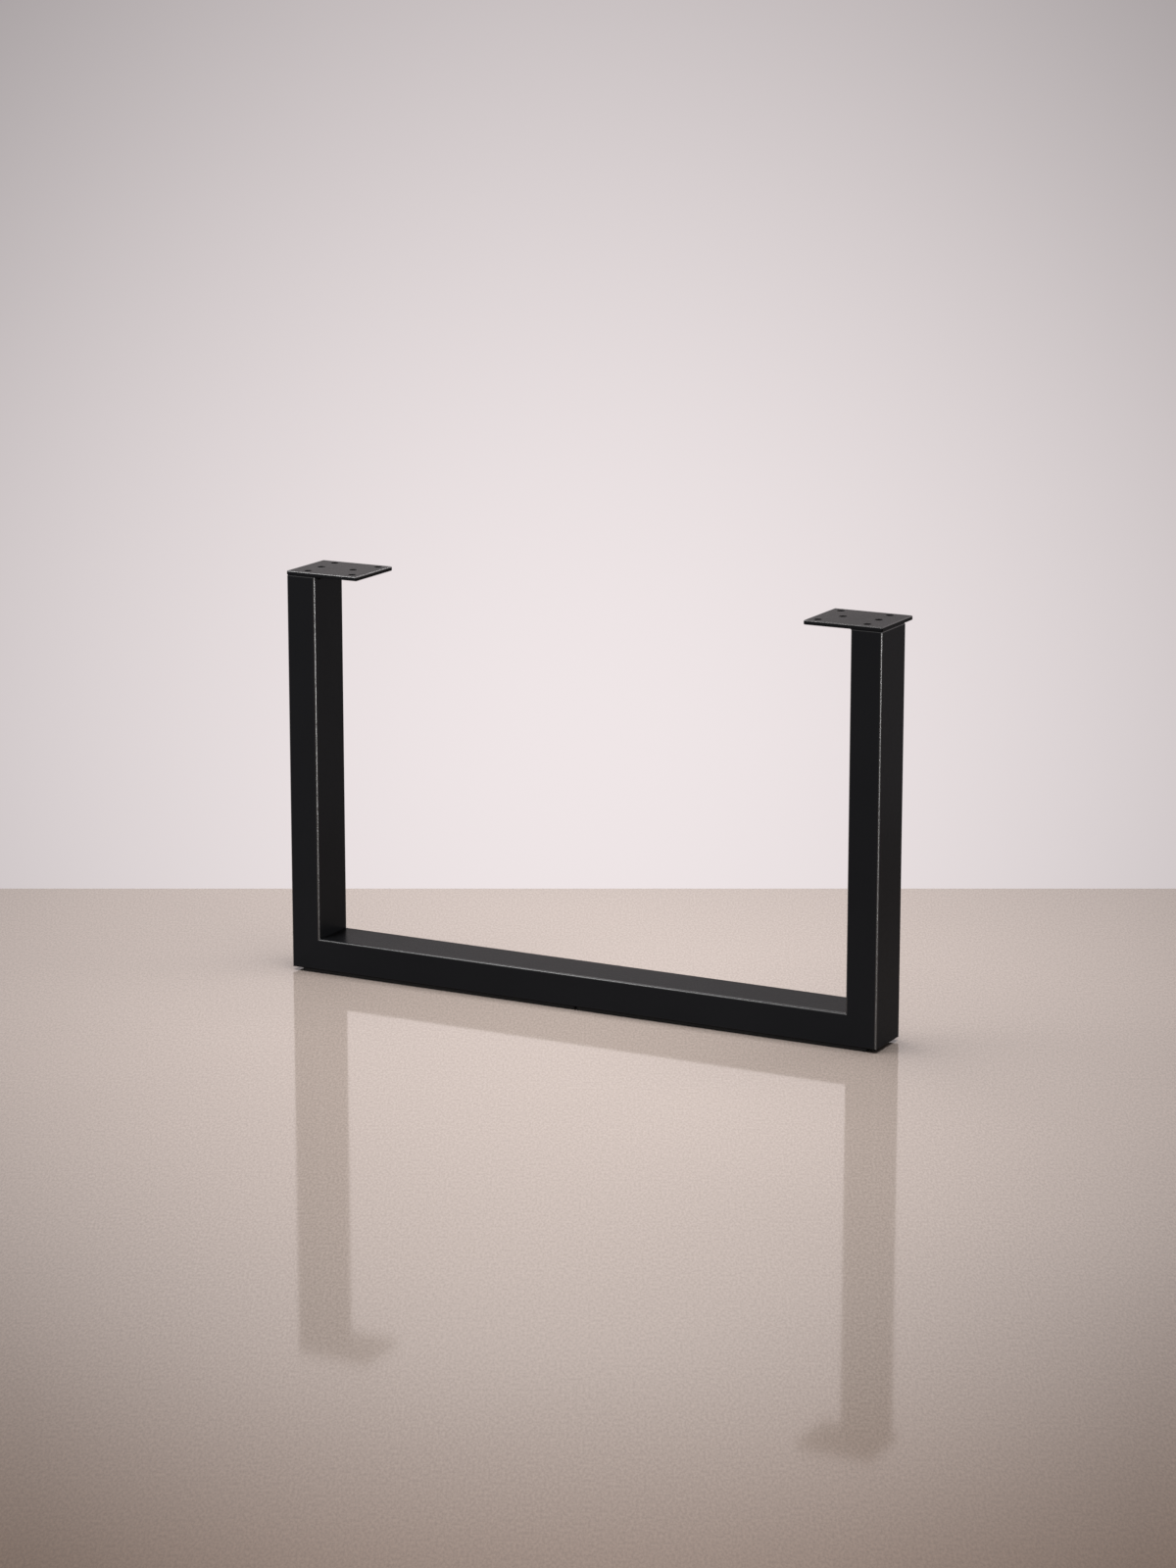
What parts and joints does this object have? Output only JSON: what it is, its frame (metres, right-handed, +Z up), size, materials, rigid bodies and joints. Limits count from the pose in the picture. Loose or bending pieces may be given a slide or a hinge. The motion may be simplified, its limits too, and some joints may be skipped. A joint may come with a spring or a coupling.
{
  "type": "u shaped table leg",
  "caption": "U shaped frame of rectangular steel tube that stands on its rail and carries a table top on a screw plate above each upright.",
  "frame": {"origin": "on the floor, under the middle of the part's box", "axes": "+X along the width from the left upright to the right one, +Y from the front face to the back, +Z up from the floor"},
  "size_m": [0.6, 0.065, 0.38],
  "materials": {
    "frame_coating": "satin black powder coat on steel tube, with a fine grain",
    "plate_coating": "satin black powder coat on flat steel plate, with a fine grain",
    "weld_coating": "satin black powder coat over a rippled weld bead",
    "pad_rubber": "matt black rubber"
  },
  "bodies": {
    "root": {"bottom_rail": "frame_coating", "left_upright": "frame_coating", "right_upright": "frame_coating", "left_screw_plate": "plate_coating", "right_screw_plate": "plate_coating", "left_plate_weld": "weld_coating", "right_plate_weld": "weld_coating", "left_floor_pad": "pad_rubber", "right_floor_pad": "pad_rubber"}
  },
  "joints": []
}
